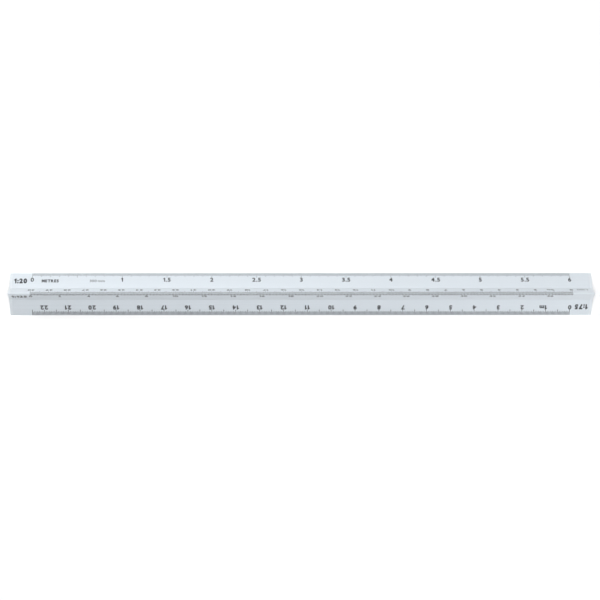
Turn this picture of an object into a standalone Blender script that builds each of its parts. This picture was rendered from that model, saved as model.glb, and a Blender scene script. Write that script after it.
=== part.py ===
"""A triangular scale ruler: a hollow three-edged bar, closed at each end by a plug cap.

Metres, +Z up. The bar lies along X on two of its scale edges, and the third edge is the ridge on top.
The origin lies on the surface under the middle of the bar. An outline is a list of (y, z) points round
the bar's axis, counter-clockwise as seen from +X.
"""

import math

import bmesh
import bpy
from mathutils import Vector

# Driving dimensions of the bar.
SCALE_LENGTH = 0.300  # each of the six printed scales
END_MARGIN = 0.0124  # blank length beyond both ends of the scales
EDGE_SPACING = 0.0235  # from one scale edge to the next
EDGE_LAND = 0.0005  # flat strip on each side of an edge, which is what the bar rests on
CREASE_DEPTH = 0.0032  # depth of the shallow V along the middle of each side
CREASE_RADIUS = 0.0014
WALL = 0.0016  # thickness between a sloping face and the hollow
BORE_TIP_RADIUS = 0.0004
BORE_CREASE_RADIUS = 0.0006

# Driving dimensions of the end caps.
FLANGE = 0.0012  # the part of a cap that shows
RIM_RADIUS = 0.00025  # rounding round a cap's outer face
PLUG_LENGTH = 0.010
PLUG_LEAD_IN = 0.0008  # length of the taper at the plug's nose
PLUG_TAPER = 0.0003  # what the nose is smaller by, all round
FIT_GAP = 0.0003  # between the bar and a cap, at the seam and round the plug

# Fineness of the round stretches.
CREASE_STEPS = 10
BORE_TIP_STEPS = 2  # gives the hollow as many points as an edge with its two lands
RIM_STEPS = 4

# Worked out from the above.
EDGES = 3
LENGTH = SCALE_LENGTH + 2 * END_MARGIN
BAR_LENGTH = LENGTH - 2 * (FLANGE + FIT_GAP)
EDGE_RADIUS = EDGE_SPACING / math.sqrt(3)  # from the axis to a scale edge
AXIS_HEIGHT = EDGE_RADIUS / 2
CREASE_DISTANCE = EDGE_RADIUS / 2 - CREASE_DEPTH  # from the axis to the bottom of a V
HALF_TURN = math.pi / EDGES  # from an edge to the crease beside it

WHITE = (0.80, 0.84, 0.88, 1.0)
CAP_WHITE = (0.82, 0.86, 0.89, 1.0)


def polar(distance, angle):
    return Vector((distance * math.cos(angle), distance * math.sin(angle)))


def edge_angle(index):
    """Direction of a scale edge from the axis; edge 0 is the ridge."""
    return math.pi / 2 + 2 * HALF_TURN * index


def rounded(before, corner, after, radius, steps):
    """The corner between two neighbouring points as an arc of steps + 1 points."""
    to_before = (before - corner).normalized()
    to_after = (after - corner).normalized()
    half_angle = to_before.angle(to_after) / 2
    centre = corner + (to_before + to_after).normalized() * radius / math.sin(half_angle)
    start = corner + to_before * radius / math.tan(half_angle) - centre
    end = corner + to_after * radius / math.tan(half_angle) - centre
    sweep = math.atan2(start.x * end.y - start.y * end.x, start.dot(end))
    return [centre + turned(start, sweep * step / steps) for step in range(steps + 1)]


def turned(point, angle):
    cosine, sine = math.cos(angle), math.sin(angle)
    return Vector((point.x * cosine - point.y * sine, point.x * sine + point.y * cosine))


def bar_outline():
    """The bar's outside: three edges, each with a land on both sides, and three rounded creases."""
    edges = [polar(EDGE_RADIUS, edge_angle(index)) for index in range(EDGES)]
    points = []
    for index, edge in enumerate(edges):
        following = edges[(index + 1) % EDGES]
        previous = edges[index - 1]
        land_before = edge + (previous - edge).normalized() * EDGE_LAND
        land_after = edge + (following - edge).normalized() * EDGE_LAND
        next_land = following + (edge - following).normalized() * EDGE_LAND
        crease = polar(CREASE_DISTANCE, edge_angle(index) + HALF_TURN)
        points += [land_before, edge, land_after]
        points += rounded(land_after, crease, next_land, CREASE_RADIUS, CREASE_STEPS)
    return points


def bore_outline(wall):
    """The hollow that leaves this wall behind the sloping faces, with as many points as bar_outline."""
    slope = math.atan2(
        CREASE_DISTANCE * math.sin(HALF_TURN), EDGE_RADIUS - CREASE_DISTANCE * math.cos(HALF_TURN)
    )
    tip_distance = EDGE_RADIUS - wall / math.sin(slope)
    crease_distance = CREASE_DISTANCE - wall / math.sin(HALF_TURN + slope)
    points = []
    for index in range(EDGES):
        angle = edge_angle(index)
        tip = polar(tip_distance, angle)
        next_tip = polar(tip_distance, angle + 2 * HALF_TURN)
        crease_before = polar(crease_distance, angle - HALF_TURN)
        crease = polar(crease_distance, angle + HALF_TURN)
        points += rounded(crease_before, tip, crease, BORE_TIP_RADIUS, BORE_TIP_STEPS)
        points += rounded(tip, crease, next_tip, BORE_CREASE_RADIUS, CREASE_STEPS)
    return points


def inset(outline, distance):
    """The outline with every side moved inwards by distance."""
    moved = []
    for index, point in enumerate(outline):
        arriving = (point - outline[index - 1]).normalized()
        leaving = (outline[(index + 1) % len(outline)] - point).normalized()
        normal_before = Vector((-arriving.y, arriving.x))
        normal_after = Vector((-leaving.y, leaving.x))
        reach = distance / (1 + normal_before.dot(normal_after))
        moved.append(point + (normal_before + normal_after) * reach)
    return moved


def add_ring(mesh, outline, x):
    return [mesh.verts.new((x, point.x, point.y + AXIS_HEIGHT)) for point in outline]


def join_rings(mesh, first, second):
    for index in range(len(first)):
        following = (index + 1) % len(first)
        mesh.faces.new((first[index], first[following], second[following], second[index]))


def finished_object(name, mesh, material):
    bmesh.ops.recalc_face_normals(mesh, faces=mesh.faces)
    data = bpy.data.meshes.new(name)
    mesh.to_mesh(data)
    mesh.free()
    data.materials.append(material)
    data.shade_smooth()
    data.set_sharp_from_angle(angle=math.radians(20))
    made = bpy.data.objects.new(name, data)
    bpy.context.scene.collection.objects.link(made)
    return made


def plastic(name, colour, roughness):
    material = bpy.data.materials.new(name)
    material.use_nodes = True
    shader = material.node_tree.nodes["Principled BSDF"]
    shader.inputs["Base Color"].default_value = colour
    shader.inputs["Roughness"].default_value = roughness
    shader.inputs["Metallic"].default_value = 0.0
    return material


def ruler_body():
    """The bar: a tube with the star outline outside and a smaller star as its hollow."""
    mesh = bmesh.new()
    outside, hollow = bar_outline(), bore_outline(WALL)
    rings = [
        add_ring(mesh, outside, -BAR_LENGTH / 2),
        add_ring(mesh, outside, BAR_LENGTH / 2),
        add_ring(mesh, hollow, BAR_LENGTH / 2),
        add_ring(mesh, hollow, -BAR_LENGTH / 2),
    ]
    for index, ring in enumerate(rings):
        join_rings(mesh, ring, rings[(index + 1) % len(rings)])
    return finished_object("ruler_body", mesh, plastic("bar_plastic", WHITE, 0.38))


def end_cap(name, side):
    """A cap for the end at side (1 for +X, -1 for -X). Its own x runs outwards, with 0 at its outer face."""
    mesh = bmesh.new()
    outside, plug = bar_outline(), bore_outline(WALL + FIT_GAP)
    rings = []
    for step in range(RIM_STEPS, -1, -1):
        angle = math.pi / 2 * step / RIM_STEPS
        shrink = RIM_RADIUS * (1 - math.cos(angle))
        rings.append(add_ring(mesh, inset(outside, shrink), RIM_RADIUS * (math.sin(angle) - 1)))
    rings.append(add_ring(mesh, outside, -FLANGE))
    rings.append(add_ring(mesh, plug, -FLANGE))
    rings.append(add_ring(mesh, plug, -FLANGE - PLUG_LENGTH + PLUG_LEAD_IN))
    nose = bore_outline(WALL + FIT_GAP + PLUG_TAPER)
    rings.append(add_ring(mesh, nose, -FLANGE - PLUG_LENGTH))
    for first, second in zip(rings, rings[1:]):
        join_rings(mesh, first, second)
    mesh.faces.new(rings[0])
    mesh.faces.new(rings[-1])
    cap = finished_object(name, mesh, plastic(name + "_plastic", CAP_WHITE, 0.42))
    cap.location.x = side * LENGTH / 2
    cap.rotation_euler.z = 0 if side > 0 else math.pi
    return cap


def main():
    for thing in list(bpy.data.objects):
        bpy.data.objects.remove(thing)
    ruler_body()
    end_cap("end_cap_left", -1)
    end_cap("end_cap_right", 1)


main()
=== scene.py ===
"""The looks of a triangular scale ruler: its fine surfaces, printed scales, plastics, floor, light, camera.

Metres, in the CAD's frame: the bar lies along X with its ridge on top. Points across the bar are (y, z)
pairs measured from the bar's axis. Along a scale, s runs from the zero line in reading direction, and t
runs over the surface from the scale edge inwards.
"""

import math
from collections import namedtuple

import bmesh
import bpy
from mathutils import Matrix, Vector

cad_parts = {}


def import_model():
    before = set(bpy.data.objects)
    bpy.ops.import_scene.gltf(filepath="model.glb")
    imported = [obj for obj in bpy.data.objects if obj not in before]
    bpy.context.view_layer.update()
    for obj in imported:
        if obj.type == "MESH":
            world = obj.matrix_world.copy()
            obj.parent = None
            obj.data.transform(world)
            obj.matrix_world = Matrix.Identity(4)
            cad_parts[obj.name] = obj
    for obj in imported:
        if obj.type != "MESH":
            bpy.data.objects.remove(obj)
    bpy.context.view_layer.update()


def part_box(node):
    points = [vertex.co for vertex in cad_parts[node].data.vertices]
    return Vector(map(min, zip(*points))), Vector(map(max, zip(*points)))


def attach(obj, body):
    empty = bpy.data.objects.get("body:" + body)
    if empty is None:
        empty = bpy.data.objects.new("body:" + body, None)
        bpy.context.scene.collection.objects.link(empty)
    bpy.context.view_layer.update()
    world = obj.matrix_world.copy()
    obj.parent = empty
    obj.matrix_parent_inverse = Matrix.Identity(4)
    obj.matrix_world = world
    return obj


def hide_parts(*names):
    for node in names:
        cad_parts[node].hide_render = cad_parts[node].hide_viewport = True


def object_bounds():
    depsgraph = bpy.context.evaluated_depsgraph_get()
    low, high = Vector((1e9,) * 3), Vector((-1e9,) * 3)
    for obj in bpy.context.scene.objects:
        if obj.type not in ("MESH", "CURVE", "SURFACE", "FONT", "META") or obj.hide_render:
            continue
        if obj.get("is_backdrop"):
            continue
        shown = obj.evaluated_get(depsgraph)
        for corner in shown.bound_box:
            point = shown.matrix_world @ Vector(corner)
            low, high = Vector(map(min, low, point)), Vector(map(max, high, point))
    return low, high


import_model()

# The bar, from the frame, and the part's own driving dimensions that its boxes don't show.
BODY = "root"
BAR_LOW, BAR_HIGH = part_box("ruler_body")
CAP_LOW, CAP_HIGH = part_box("end_cap_right")
EDGES = 3
HALF_TURN = math.pi / EDGES  # from an edge to the crease beside it
EDGE_RADIUS = (BAR_HIGH.y - BAR_LOW.y) / math.sqrt(3)  # from the axis to a scale edge
AXIS_HEIGHT = BAR_LOW.z + EDGE_RADIUS / 2
SCALE_LENGTH = 0.300
EDGE_LAND = 0.0005  # flat strip on each side of an edge
CREASE_DEPTH = 0.0032
CREASE_DISTANCE = EDGE_RADIUS / 2 - CREASE_DEPTH
CREASE_RADIUS = 0.0014
WALL = 0.0016
PLUG_LEAD_IN = 0.0008
PLUG_TAPER = 0.0003

# What the fine surface adds to the CAD's.
EDGE_ROUNDING = 0.00004  # radius of the scale edges
RIM_ROUNDING = 0.0002  # radius round a cap's outer face
SEAM = 0.00005  # between bar and cap, which the CAD holds wider apart
CREASE_STEPS = 24
EDGE_STEPS = 3
RIM_STEPS = 5
HOLLOW_ROUNDING = 0.0005
SHARP_DEGREES = 35

# Edges by number: 0 is the ridge, 1 the edge at -Y, 2 the edge at +Y.
RIDGE, NEAR_EDGE, FAR_EDGE = 0, 1, 2

# Printing.
INK_HEIGHT = 0.00002
INK_ROOT = 0.00001  # how far the ink reaches into the surface, so that it never floats
EDGE_CLEARANCE = 0.00008  # bare plastic between the edge itself and the lines
NUMBER_HEIGHT = 0.0028
NUMBER_WIDTH = 0.88  # of the font's own
RATIO_HEIGHT = 0.0032
RATIO_CENTRE = -0.0064  # s of the middle of the ratio in the blank end
RATIO_WIDTH = 0.76  # narrower, so that the longest ratio fits the blank end
LETTER_GAP = 0.14  # between letters, as a share of the type's size across
ROUNDING_SLACK = 1e-6  # so that a whole number of labels isn't counted one short
CURVE_STEPS = 4
CAPTION_RATIO = 20  # the scale whose second number gives way to the unit and the scale's length
UNIT_START, UNIT_HEIGHT, UNIT_WEIGHT, UNIT_WIDTH = 0.0053, 0.0020, 0.050, 0.8
LENGTH_START, LENGTH_HEIGHT, LENGTH_WEIGHT = 0.0320, 0.0018, 0.004

# A style of printing: the width of the lines and the lengths of the three kinds of them. The weights are
# how far the outlines of the numbers and of the ratio are moved outwards, as a share of the type size, and
# ratio_drop is how much further from the edge the ratio stands than the numbers.
Style = namedtuple("Style", "line_width short middle long number_weight ratio_weight ratio_drop")
FINE = Style(0.000155, 0.0023, 0.0030, 0.0037, 0.034, 0.060, 0.0009)
FAINT = Style(0.000220, 0.0032, 0.0040, 0.0050, 0.028, -0.008, 0.0006)
BOLD = Style(0.000310, 0.0027, 0.0033, 0.0044, 0.050, 0.066, 0.0004)
DENSE = Style(0.000400, 0.0028, 0.0031, 0.0034, 0.024, 0.060, 0.0006)

# row is t of the middle of the numbers. Every middle-th line is longer, and every long-th line longest.
Scale = namedtuple("Scale", "ratio edge side step_m middle long label_m row style")
SCALES = (
    Scale(20, FAR_EDGE, RIDGE, 0.01, 10, 50, 0.5, 0.0054, FINE),
    Scale(100, RIDGE, FAR_EDGE, 0.05, 2, 10, 1.0, 0.0082, FAINT),
    Scale(125, RIDGE, NEAR_EDGE, 0.10, 5, 10, 2.0, 0.0051, DENSE),
    Scale(75, NEAR_EDGE, RIDGE, 0.05, 2, 10, 1.0, 0.0061, BOLD),
    Scale(25, NEAR_EDGE, FAR_EDGE, 0.02, 5, 25, 0.5, 0.0058, FINE),
    Scale(50, FAR_EDGE, NEAR_EDGE, 0.05, 2, 10, 1.0, 0.0058, FINE),
)

# Camera, set to the view straight down on the ridge.
CAMERA_AT = Vector((-0.028, -0.020, 1.60))
CAMERA_TARGET = Vector((-0.0007, -0.0033, 0.0))
CAMERA_UP = Vector((0.0006, 1.0, 0.0))
CAMERA_LENS = 171.6
SENSOR = 36.0  # in mm, as the lens is
CAMERA_REACH = 20.0

# Plastics and ink. Scales of noise are per metre, and a stretched noise is long along the bar. A gloss is
# the lowest and the highest roughness. Depths are the heights of bumps.
BAR_WHITE = (0.711, 0.769, 0.82, 1.0)
CAP_WHITE = (0.742, 0.796, 0.842, 1.0)
INK_BLACK = (0.022, 0.024, 0.030, 1.0)
INK_THIN = (0.060, 0.064, 0.074, 1.0)  # where it didn't take fully
CLOUD_SHADE = 0.98
STREAK_SHADE = 0.955
# Painted shade: how much darker the base colour is painted in the creases.
PAINTED_CREASE_SHADE = 0.955
PAINTED_SHADE_REACH = 1.6  # how far from the axis the painted crease shade ends, as a multiple of the crease's distance
MOST_NOISE = (0.3, 0.7)  # the values between which nearly all of a noise lies
UPPER_NOISE = (0.35, 0.75)  # leaves the rest of the surface without drawn streaks
PEAK_NOISE = (0.6, 0.7)  # leaves scuffs only where the noise is highest
COVER_NOISE = (0.35, 0.65)  # from where the ink is black to where it is thin
CLOUD_SCALE, PATCH_SCALE, DRAWN_SCALE, SKIN_SCALE = 28.0, 45.0, 300.0, 900.0
DRAWN_STRETCH, SCUFF_STRETCH, STREAK_STRETCH = (0.012, 5.0, 5.0), (0.06, 6.0, 6.0), (0.01, 4.0, 4.0)
STREAK_DEPTH, STREAK_STRENGTH = 0.00004, 0.35
SKIN_DEPTH, SKIN_STRENGTH = 0.00001, 0.20
BAR_GLOSS, SCUFF_GLOSS = (0.34, 0.44), 0.10  # scuffs add theirs to the bar's
BAR_SPECULAR = 0.45
CAP_CLOUD_SCALE, CAP_PATCH_SCALE, CAP_GRAIN_SCALE = 90.0, 400.0, 3500.0
CAP_GRAIN_DEPTH, CAP_GRAIN_STRENGTH = 0.00002, 0.35
CAP_GLOSS = (0.40, 0.52)
INK_COVER_SCALE, INK_PATCH_SCALE = 2500.0, 1500.0
INK_GLOSS = (0.42, 0.60)

# Studio. The world's band of light is white low on the far side and fades towards the near side.
STUDIO_WHITE = (1.0, 1.0, 1.0, 1.0)
FLOOR_WHITE = (0.93, 0.93, 0.93, 1.0)
FLOOR_ROUGHNESS = 0.9
FLOOR_HALF_SIZE = 4.0
FLOOR_DARK_REACH, FLOOR_BRIGHT_REACH = 0.35, 0.90  # the floor's own glow grows between these distances
FLOOR_GLOW = 0.06  # close to the ruler; 1 in the distance
BAND_NEAR_END, BAND_FAR_START = -0.9, -0.25  # Y of the view direction where the band is black and white
BAND_TOP_START, BAND_TOP_END = 0.08, 0.22  # Z of the view direction over which the band ends
DIM_ABOVE = 0.05


def polar(distance, angle):
    return Vector((distance * math.cos(angle), distance * math.sin(angle)))


def edge_angle(index):
    """Direction of a scale edge from the axis; edge 0 is the ridge."""
    return math.pi / 2 + 2 * HALF_TURN * index


def outward(direction, near):
    """The unit vector square to direction that points away from the axis at the place near."""
    normal = Vector((direction.y, -direction.x))
    return normal if normal.dot(near) > 0 else -normal


def rounded(before, corner, after, radius, steps):
    """The corner between two neighbouring points as an arc of steps + 1 points."""
    to_before = (before - corner).normalized()
    to_after = (after - corner).normalized()
    half_angle = to_before.angle(to_after) / 2
    centre = corner + (to_before + to_after).normalized() * radius / math.sin(half_angle)
    start = corner + to_before * radius / math.tan(half_angle) - centre
    end = corner + to_after * radius / math.tan(half_angle) - centre
    sweep = math.atan2(start.x * end.y - start.y * end.x, start.dot(end))
    turns = [Matrix.Rotation(sweep * step / steps, 2) for step in range(steps + 1)]
    return [centre + turn @ start for turn in turns]


def inset(outline, distance):
    """The outline with every side moved inwards by distance."""
    moved = []
    for index, point in enumerate(outline):
        arriving = (point - outline[index - 1]).normalized()
        leaving = (outline[(index + 1) % len(outline)] - point).normalized()
        normal_before = Vector((-arriving.y, arriving.x))
        normal_after = Vector((-leaving.y, leaving.x))
        reach = distance / (1 + normal_before.dot(normal_after))
        moved.append(point + (normal_before + normal_after) * reach)
    return moved


def outside_outline(shrink=0.0):
    """Three finely rounded edges, each with a land on both sides, and three rounded creases."""
    edges = [polar(EDGE_RADIUS, edge_angle(index)) for index in range(EDGES)]
    sharp = []
    for index, edge in enumerate(edges):
        following, previous = edges[(index + 1) % EDGES], edges[index - 1]
        land_after = edge + (following - edge).normalized() * EDGE_LAND
        next_land = following + (edge - following).normalized() * EDGE_LAND
        crease = polar(CREASE_DISTANCE, edge_angle(index) + HALF_TURN)
        sharp += [edge + (previous - edge).normalized() * EDGE_LAND, edge, land_after]
        sharp += rounded(land_after, crease, next_land, CREASE_RADIUS, CREASE_STEPS)
    moved = inset(sharp, shrink)
    points = []
    for index, corner in enumerate(moved):
        if index % (len(moved) // EDGES) == 1:  # the scale edge itself
            points += rounded(moved[index - 1], corner, moved[index + 1], EDGE_ROUNDING, EDGE_STEPS)
        else:
            points.append(corner)
    return points


def hollow_outline(wall):
    """The hollow that leaves this wall behind the slopes, with as many points as outside_outline."""
    slope = math.atan2(
        CREASE_DISTANCE * math.sin(HALF_TURN), EDGE_RADIUS - CREASE_DISTANCE * math.cos(HALF_TURN)
    )
    tip_distance = EDGE_RADIUS - wall / math.sin(slope)
    crease_distance = CREASE_DISTANCE - wall / math.sin(HALF_TURN + slope)
    points = []
    for index in range(EDGES):
        angle = edge_angle(index)
        tip, next_tip = polar(tip_distance, angle), polar(tip_distance, angle + 2 * HALF_TURN)
        crease_before = polar(crease_distance, angle - HALF_TURN)
        crease = polar(crease_distance, angle + HALF_TURN)
        points += rounded(crease_before, tip, crease, HOLLOW_ROUNDING, EDGE_STEPS + 2)
        points += rounded(tip, crease, next_tip, HOLLOW_ROUNDING, CREASE_STEPS)
    return points


def add_ring(mesh, outline, x):
    return [mesh.verts.new((x, point.x, point.y + AXIS_HEIGHT)) for point in outline]


def join_rings(mesh, first, second):
    for index in range(len(first)):
        following = (index + 1) % len(first)
        mesh.faces.new((first[index], first[following], second[following], second[index]))


def plastic_piece(name, mesh, material, node):
    bmesh.ops.recalc_face_normals(mesh, faces=mesh.faces)
    data = bpy.data.meshes.new(name)
    mesh.to_mesh(data)
    mesh.free()
    data.shade_smooth()
    data.set_sharp_from_angle(angle=math.radians(SHARP_DEGREES))
    data.materials.append(material)
    made = bpy.data.objects.new(name, data)
    bpy.context.scene.collection.objects.link(made)
    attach(made, BODY)
    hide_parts(node)


def fine_bar():
    """The bar as a tube: its outside, its hollow and the two end faces between them."""
    mesh = bmesh.new()
    outside, hollow = outside_outline(), hollow_outline(WALL)
    rings = [
        add_ring(mesh, outside, BAR_LOW.x),
        add_ring(mesh, outside, BAR_HIGH.x),
        add_ring(mesh, hollow, BAR_HIGH.x),
        add_ring(mesh, hollow, BAR_LOW.x),
    ]
    for index, ring in enumerate(rings):
        join_rings(mesh, ring, rings[(index + 1) % len(rings)])
    plastic_piece("bar", mesh, bar_plastic(), "ruler_body")


def fine_cap(name, side, node, material):
    """A cap pressed home on the end at side: 1 for +X, -1 for -X."""
    mesh = bmesh.new()
    rings = []
    for step in range(RIM_STEPS, -1, -1):
        angle = math.pi / 2 * step / RIM_STEPS
        shrunk = outside_outline(RIM_ROUNDING * (1 - math.cos(angle)))
        rings.append(add_ring(mesh, shrunk, side * (CAP_HIGH.x - RIM_ROUNDING * (1 - math.sin(angle)))))
    flange_inside = side * (BAR_HIGH.x + SEAM)
    plug = hollow_outline(WALL + SEAM)
    rings.append(add_ring(mesh, outside_outline(), flange_inside))
    rings.append(add_ring(mesh, plug, flange_inside))
    rings.append(add_ring(mesh, plug, side * (CAP_LOW.x + PLUG_LEAD_IN)))
    rings.append(add_ring(mesh, hollow_outline(WALL + SEAM + PLUG_TAPER), side * CAP_LOW.x))
    for first, second in zip(rings, rings[1:]):
        join_rings(mesh, first, second)
    mesh.faces.new(rings[0])
    mesh.faces.new(rings[-1])
    plastic_piece(name, mesh, material, node)


def fine_plastic():
    fine_bar()
    material = cap_plastic()
    fine_cap("cap_left", -1, "end_cap_left", material)
    fine_cap("cap_right", 1, "end_cap_right", material)


class PrintedFace:
    """The surface that one scale is printed on: a narrow land at the edge, then the slope to the crease."""

    def __init__(self, edge, side):
        self.edge = polar(EDGE_RADIUS, edge_angle(edge))
        other = polar(EDGE_RADIUS, edge_angle(side))
        middle = self.edge + other
        crease = middle.normalized() * CREASE_DISTANCE
        self.land_in = (other - self.edge).normalized()
        self.land_end = self.edge + self.land_in * EDGE_LAND
        self.slope_in = (crease - self.land_end).normalized()
        self.land_out = outward(self.land_in, middle)
        self.slope_out = outward(self.slope_in, middle)
        up = -self.slope_in
        self.reading = math.copysign(1.0, up.x * self.slope_out.y - up.y * self.slope_out.x)

    def point(self, s, t, height):
        if t < EDGE_LAND:
            across = self.edge + self.land_in * t
            normal = self.land_out
        elif t == EDGE_LAND:
            across = self.land_end
            normal = (self.land_out + self.slope_out).normalized()
        else:
            across = self.land_end + self.slope_in * (t - EDGE_LAND)
            normal = self.slope_out
        place = across + normal * height
        return Vector((self.reading * (s - SCALE_LENGTH / 2), place.x, place.y + AXIS_HEIGHT))


def add_line(mesh, face, s, length, width):
    """One scale line: a thin bar of ink that follows the land and the slope."""
    rings = []
    for t in (EDGE_CLEARANCE, EDGE_LAND, length):
        corners = ((-1, -INK_ROOT), (1, -INK_ROOT), (1, INK_HEIGHT), (-1, INK_HEIGHT))
        rings.append([mesh.verts.new(face.point(s + side * width / 2, t, h)) for side, h in corners])
    for first, second in zip(rings, rings[1:]):
        join_rings(mesh, first, second)
    mesh.faces.new(rings[0])
    mesh.faces.new(rings[-1])


def line_length(scale, index):
    if index % scale.long == 0:
        return scale.style.long
    if index % scale.middle == 0:
        return scale.style.middle
    return scale.style.short


def ink_object(name, mesh):
    bmesh.ops.recalc_face_normals(mesh, faces=mesh.faces)
    data = bpy.data.meshes.new(name)
    mesh.to_mesh(data)
    mesh.free()
    data.materials.append(ink_material())
    made = bpy.data.objects.new(name, data)
    bpy.context.scene.collection.objects.link(made)
    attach(made, BODY)


def scale_lines(scale, face):
    mesh = bmesh.new()
    step = scale.step_m / scale.ratio
    for index in range(round(SCALE_LENGTH / step) + 1):
        add_line(mesh, face, index * step, line_length(scale, index), scale.style.line_width)
    ink_object(f"lines_1_{scale.ratio}", mesh)


CAP_HEIGHT = 0.682  # of the built-in font, as a share of its size
STEM_LEFT, STEM_RIGHT = 0.19, 0.28
FLAG = ((0.05, 0.47), (0.05, 0.55), (0.21, CAP_HEIGHT))  # its tip, low and high, and where it meets the top
DIGIT_ONE = ((STEM_LEFT, 0.0), (STEM_LEFT, 0.52), *FLAG, (STEM_RIGHT, CAP_HEIGHT), (STEM_RIGHT, 0.0))
HALF_DEPTH = 0.5  # of a letter before it is set
SAME_POINT = 0.0005  # outline points closer than this are one


def one_curve(weight):
    """The outline of a 1 with its flag, which the built-in font draws as a bare bar."""
    curve = bpy.data.curves.new("one", "CURVE")
    curve.dimensions = "2D"
    curve.fill_mode = "BOTH"
    line = curve.splines.new("POLY")
    line.points.add(len(DIGIT_ONE) - 1)
    for point, (x, y) in zip(line.points, DIGIT_ONE):
        point.co = (x, y, 0.0, 1.0)
    line.use_cyclic_u = True
    curve.offset = weight
    return curve


def letter_curve(character, weight):
    if character == "1":
        return one_curve(weight)
    curve = bpy.data.curves.new("letter", "FONT")
    curve.body = character
    curve.offset = weight
    curve.resolution_u = CURVE_STEPS
    return curve


letters = {}  # those made so far, by character and weight


def letter(character, weight):
    """(points, faces, width) of a letter 1 high, standing on its baseline with its left side at 0.

    Its bottom is at z = 0 and its top at z = 1.
    """
    key = (character, weight)
    if key not in letters:
        curve = letter_curve(character, weight)
        curve.extrude = HALF_DEPTH
        holder = bpy.data.objects.new("letter", curve)
        bpy.context.scene.collection.objects.link(holder)
        solid = bpy.data.meshes.new_from_object(holder.evaluated_get(bpy.context.evaluated_depsgraph_get()))
        mesh = bmesh.new()
        mesh.from_mesh(solid)
        bmesh.ops.remove_doubles(mesh, verts=mesh.verts, dist=SAME_POINT)
        left = min(vertex.co.x for vertex in mesh.verts)
        right = max(vertex.co.x for vertex in mesh.verts)
        points = [
            Vector(((v.co.x - left) / CAP_HEIGHT, v.co.y / CAP_HEIGHT, v.co.z + HALF_DEPTH))
            for v in mesh.verts
        ]
        faces = [tuple(vertex.index for vertex in face.verts) for face in mesh.faces]
        letters[key] = (points, faces, (right - left) / CAP_HEIGHT)
        mesh.free()
        bpy.data.meshes.remove(solid)
        bpy.data.objects.remove(holder)
        bpy.data.curves.remove(curve)
    return letters[key]


class Type:
    """A size and kind of lettering: height, outline weight, and width as a share of the font's own."""

    def __init__(self, height, weight, width=1.0):
        self.height, self.weight = height, weight
        self.across = height * width
        self.gap = LETTER_GAP * self.across

    def length(self, text):
        widths = [letter(character, self.weight)[2] for character in text.replace(" ", "")]
        return sum(widths) * self.across + self.gap * (len(text) - 1 + text.count(" "))

    def add(self, mesh, face, text, start, row):
        """Prints text from s = start on. Its letters stand with their tops towards the scale edge."""
        s = start
        baseline = row + self.height / 2
        thickness = INK_HEIGHT + INK_ROOT
        for character in text:
            if character == " ":
                s += 2 * self.gap
                continue
            points, faces, width = letter(character, self.weight)
            places = [
                (s + p.x * self.across, baseline - p.y * self.height, p.z * thickness - INK_ROOT)
                for p in points
            ]
            made = [mesh.verts.new(face.point(*place)) for place in places]
            for corners in faces:
                mesh.faces.new([made[index] for index in corners])
            s += width * self.across + self.gap


def number_text(metres, ratio):
    text = f"{metres:g}"
    return text + "m" if metres == 1 and ratio != CAPTION_RATIO else text


def scale_numbers(scale, face):
    """The metres, each centred on its line; the m after a 1 doesn't count in that."""
    mesh = bmesh.new()
    count = math.floor(SCALE_LENGTH * scale.ratio / scale.label_m + ROUNDING_SLACK) + 1
    type_used = Type(NUMBER_HEIGHT, scale.style.number_weight, NUMBER_WIDTH)
    for index in range(count):
        metres = index * scale.label_m
        if scale.ratio == CAPTION_RATIO and metres == scale.label_m:
            continue  # the caption stands there
        text = number_text(metres, scale.ratio)
        digits = text.rstrip("m")
        start = metres / scale.ratio - type_used.length(digits) / 2
        type_used.add(mesh, face, text, start, scale.row)
    ink_object(f"numbers_1_{scale.ratio}", mesh)


def scale_ratio(scale, face):
    """The ratio, such as 1:100, in the blank end beside the zero."""
    mesh = bmesh.new()
    text = f"1:{scale.ratio}"
    type_used = Type(RATIO_HEIGHT, scale.style.ratio_weight, RATIO_WIDTH)
    start = RATIO_CENTRE - type_used.length(text) / 2
    type_used.add(mesh, face, text, start, scale.row + scale.style.ratio_drop)
    ink_object(f"ratio_1_{scale.ratio}", mesh)


def unit_caption(scale, face):
    """The unit and the scale's length in mm, in the place of a number."""
    mesh = bmesh.new()
    row = scale.row + scale.style.ratio_drop
    length_text = f"{SCALE_LENGTH * 1000:.0f} mm"
    Type(UNIT_HEIGHT, UNIT_WEIGHT, UNIT_WIDTH).add(mesh, face, "METRES", UNIT_START, row)
    Type(LENGTH_HEIGHT, LENGTH_WEIGHT).add(mesh, face, length_text, LENGTH_START, row)
    ink_object("unit_caption", mesh)


def printed_scales():
    for scale in SCALES:
        face = PrintedFace(scale.edge, scale.side)
        scale_lines(scale, face)
        scale_numbers(scale, face)
        scale_ratio(scale, face)
        if scale.ratio == CAPTION_RATIO:
            unit_caption(scale, face)


MIX_FIRST, MIX_SECOND, MIX_RESULT = 6, 7, 2  # the colour sockets of a Mix node


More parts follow.
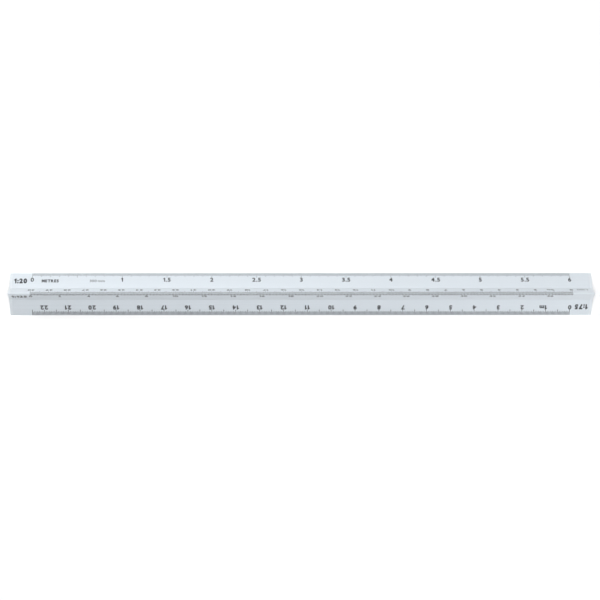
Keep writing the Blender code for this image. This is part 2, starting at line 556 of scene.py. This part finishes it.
class Nodes:
    """A material's node tree with the few kinds of node used here."""

    def __init__(self, name, colour, roughness):
        self.material = bpy.data.materials.new(name)
        self.material.use_nodes = True
        self.tree = self.material.node_tree
        self.shader = self.tree.nodes["Principled BSDF"]
        self.shader.inputs["Base Color"].default_value = colour
        self.shader.inputs["Roughness"].default_value = roughness
        self.place = self.tree.nodes.new("ShaderNodeTexCoord").outputs["Object"]

    def link(self, source, socket):
        self.tree.links.new(source, socket)

    def stretched(self, scale):
        node = self.tree.nodes.new("ShaderNodeMapping")
        node.inputs["Scale"].default_value = scale
        self.link(self.place, node.inputs["Vector"])
        return node.outputs["Vector"]

    def noise(self, scale, detail=2.0, stretch=(1.0, 1.0, 1.0)):
        """Noise from 0 to 1, which an axis scaled by less than 1 makes longer that way."""
        node = self.tree.nodes.new("ShaderNodeTexNoise")
        node.inputs["Scale"].default_value = scale
        node.inputs["Detail"].default_value = detail
        self.link(self.stretched(stretch), node.inputs["Vector"])
        return node.outputs["Fac"]

    def ranged(self, source, low, high, new_low, new_high):
        """The source with the values from low to high spread from new_low to new_high, and no further."""
        node = self.tree.nodes.new("ShaderNodeMapRange")
        values = {"From Min": low, "From Max": high, "To Min": new_low, "To Max": new_high}
        for name, value in values.items():
            node.inputs[name].default_value = value
        self.link(source, node.inputs["Value"])
        return node.outputs["Result"]

    def mixed(self, factor, first, second):
        """The colour between first and second, each of which is a colour or another node's output."""
        node = self.tree.nodes.new("ShaderNodeMix")
        node.data_type = "RGBA"
        self.link(factor, node.inputs["Factor"])
        for socket, value in ((node.inputs[MIX_FIRST], first), (node.inputs[MIX_SECOND], second)):
            if isinstance(value, bpy.types.NodeSocket):
                self.link(value, socket)
            else:
                socket.default_value = value
        return node.outputs[MIX_RESULT]

    def added(self, first, second):
        node = self.tree.nodes.new("ShaderNodeMath")
        node.operation = "ADD"
        self.link(first, node.inputs[0])
        self.link(second, node.inputs[1])
        return node.outputs["Value"]

    def bumped(self, height, distance, strength, under=None):
        """The surface's normal with these bumps, on top of the bumps under them."""
        node = self.tree.nodes.new("ShaderNodeBump")
        node.inputs["Distance"].default_value = distance
        node.inputs["Strength"].default_value = strength
        self.link(height, node.inputs["Height"])
        if under:
            self.link(under, node.inputs["Normal"])
        return node.outputs["Normal"]

    def length(self, vector):
        node = self.tree.nodes.new("ShaderNodeVectorMath")
        node.operation = "LENGTH"
        self.link(vector, node.inputs[0])
        return node.outputs["Value"]

    def distance_from_axis(self):
        node = self.tree.nodes.new("ShaderNodeVectorMath")
        node.operation = "MULTIPLY_ADD"
        node.inputs[1].default_value = (0.0, 1.0, 1.0)
        node.inputs[2].default_value = (0.0, 0.0, -AXIS_HEIGHT)
        self.link(self.place, node.inputs[0])
        return self.length(node.outputs["Vector"])


def shade(colour, factor):
    return tuple(channel * factor for channel in colour[:3]) + (1.0,)


def bar_plastic():
    """Extruded plastic: faint streaks along the bar, painted shade darkening the creases, scuffed gloss."""
    nodes = Nodes("bar_plastic_look", BAR_WHITE, 0.4)
    cloudy = nodes.ranged(nodes.noise(CLOUD_SCALE, 3.0), *MOST_NOISE, 0.0, 1.0)
    tone = nodes.mixed(cloudy, BAR_WHITE, shade(BAR_WHITE, CLOUD_SHADE))
    drawn = nodes.ranged(nodes.noise(DRAWN_SCALE, 3.0, DRAWN_STRETCH), *UPPER_NOISE, 0.0, 1.0)
    streaked = nodes.mixed(drawn, tone, shade(BAR_WHITE, STREAK_SHADE))
    # Painted shade: the base colour darkens towards the creases, where shade falls.
    painted_shade_end = CREASE_DISTANCE * PAINTED_SHADE_REACH
    crease_shade_mask = nodes.ranged(nodes.distance_from_axis(), CREASE_DISTANCE, painted_shade_end, 1.0, 0.0)
    crease_shade_painted = nodes.mixed(crease_shade_mask, streaked, shade(BAR_WHITE, PAINTED_CREASE_SHADE))
    nodes.link(crease_shade_painted, nodes.shader.inputs["Base Color"])
    patches = nodes.ranged(nodes.noise(PATCH_SCALE, 3.0), *MOST_NOISE, *BAR_GLOSS)
    scuffs = nodes.ranged(nodes.noise(DRAWN_SCALE, 2.0, SCUFF_STRETCH), *PEAK_NOISE, 0.0, SCUFF_GLOSS)
    nodes.link(nodes.added(patches, scuffs), nodes.shader.inputs["Roughness"])
    streaks = nodes.bumped(nodes.noise(DRAWN_SCALE, 2.0, STREAK_STRETCH), STREAK_DEPTH, STREAK_STRENGTH)
    skin = nodes.bumped(nodes.noise(SKIN_SCALE, 2.0), SKIN_DEPTH, SKIN_STRENGTH, streaks)
    nodes.link(skin, nodes.shader.inputs["Normal"])
    nodes.shader.inputs["Specular IOR Level"].default_value = BAR_SPECULAR
    return nodes.material


def cap_plastic():
    """Moulded plastic: a fine etched grain and a little paler than the bar."""
    nodes = Nodes("cap_plastic_look", CAP_WHITE, 0.45)
    cloudy = nodes.ranged(nodes.noise(CAP_CLOUD_SCALE), *MOST_NOISE, 0.0, 1.0)
    tone = nodes.mixed(cloudy, CAP_WHITE, shade(CAP_WHITE, CLOUD_SHADE))
    nodes.link(tone, nodes.shader.inputs["Base Color"])
    patches = nodes.ranged(nodes.noise(CAP_PATCH_SCALE), *MOST_NOISE, *CAP_GLOSS)
    nodes.link(patches, nodes.shader.inputs["Roughness"])
    grain = nodes.bumped(nodes.noise(CAP_GRAIN_SCALE), CAP_GRAIN_DEPTH, CAP_GRAIN_STRENGTH)
    nodes.link(grain, nodes.shader.inputs["Normal"])
    return nodes.material


def ink_material():
    """Hot-stamped ink: near black, uneven where it didn't take fully. One material for all the printing."""
    name = "scale_ink_look"
    found = bpy.data.materials.get(name)
    if found:
        return found
    nodes = Nodes(name, INK_BLACK, 0.5)
    cover = nodes.ranged(nodes.noise(INK_COVER_SCALE, 3.0), *COVER_NOISE, 0.0, 1.0)
    nodes.link(nodes.mixed(cover, INK_BLACK, INK_THIN), nodes.shader.inputs["Base Color"])
    patches = nodes.ranged(nodes.noise(INK_PATCH_SCALE), *MOST_NOISE, *INK_GLOSS)
    nodes.link(patches, nodes.shader.inputs["Roughness"])
    return nodes.material


def floor():
    """A matt white floor with a glow of its own, which grows with the distance from the ruler."""
    mesh = bmesh.new()
    bmesh.ops.create_grid(mesh, x_segments=1, y_segments=1, size=FLOOR_HALF_SIZE)
    data = bpy.data.meshes.new("floor")
    mesh.to_mesh(data)
    mesh.free()
    made = bpy.data.objects.new("floor", data)
    made.location.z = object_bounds()[0].z
    bpy.context.scene.collection.objects.link(made)
    nodes = Nodes("floor_look", FLOOR_WHITE, FLOOR_ROUGHNESS)
    nodes.shader.inputs["Specular IOR Level"].default_value = 0.0
    nodes.shader.inputs["Emission Color"].default_value = STUDIO_WHITE
    away = nodes.length(nodes.place)
    glow = nodes.ranged(away, FLOOR_DARK_REACH, FLOOR_BRIGHT_REACH, FLOOR_GLOW, 1.0)
    nodes.link(glow, nodes.shader.inputs["Emission Strength"])
    data.materials.append(nodes.material)
    made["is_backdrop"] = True


def soft_light(name, place, target, size, brightness):
    """An area light; brightness is what it adds to a white surface that faces it at the target."""
    data = bpy.data.lights.new(name, "AREA")
    data.shape = "RECTANGLE"
    data.size, data.size_y = size
    place, target = Vector(place), Vector(target)
    data.energy = brightness * math.pi**2 * (target - place).length_squared
    made = bpy.data.objects.new(name, data)
    made.location = place
    made.rotation_euler = (target - place).to_track_quat("-Z", "Y").to_euler()
    bpy.context.scene.collection.objects.link(made)


def lights():
    """A large light above, a smaller one behind on the left, and a low one in front on the right."""
    soft_light("overhead", (0.0, 0.0, 2.0), (0.0, 0.0, 0.0), (1.0, 1.0), 0.86)
    soft_light("upper_left", (-0.60, 0.50, 0.60), (-0.15, 0.0, 0.01), (0.35, 0.25), 0.37)
    soft_light("lower_right", (0.38, -0.30, 0.17), (0.15, 0.0, 0.01), (0.30, 0.20), 0.30)


def world():
    """A studio with a white band low on its far side that fades to black on the near side; dim above."""
    made = bpy.data.worlds.new("studio")
    made.use_nodes = True
    tree = made.node_tree
    place = tree.nodes.new("ShaderNodeTexCoord")
    split = tree.nodes.new("ShaderNodeSeparateXYZ")
    tree.links.new(place.outputs["Generated"], split.inputs["Vector"])
    across = tree.nodes.new("ShaderNodeMapRange")
    across.inputs["From Min"].default_value = BAND_NEAR_END
    across.inputs["From Max"].default_value = BAND_FAR_START
    tree.links.new(split.outputs["Y"], across.inputs["Value"])
    height = tree.nodes.new("ShaderNodeMapRange")
    height.inputs["From Min"].default_value = BAND_TOP_START
    height.inputs["From Max"].default_value = BAND_TOP_END
    height.inputs["To Max"].default_value = DIM_ABOVE
    tree.links.new(split.outputs["Z"], height.inputs["Value"])
    tree.links.new(across.outputs["Result"], height.inputs["To Min"])
    tree.links.new(height.outputs["Result"], tree.nodes["Background"].inputs["Color"])
    bpy.context.scene.world = made


def camera():
    """The camera, upright to within the little that CAMERA_UP turns it."""
    data = bpy.data.cameras.new("camera")
    data.lens = CAMERA_LENS
    data.sensor_width = SENSOR
    data.clip_end = CAMERA_REACH
    made = bpy.data.objects.new("camera", data)
    made.location = CAMERA_AT
    back = (CAMERA_AT - CAMERA_TARGET).normalized()
    right = CAMERA_UP.cross(back).normalized()
    made.rotation_euler = Matrix((right, back.cross(right), back)).transposed().to_euler()
    bpy.context.scene.collection.objects.link(made)
    bpy.context.scene.camera = made


def main():
    camera()
    fine_plastic()
    printed_scales()
    floor()
    lights()
    world()
    bpy.context.scene.view_settings.view_transform = "Standard"


main()
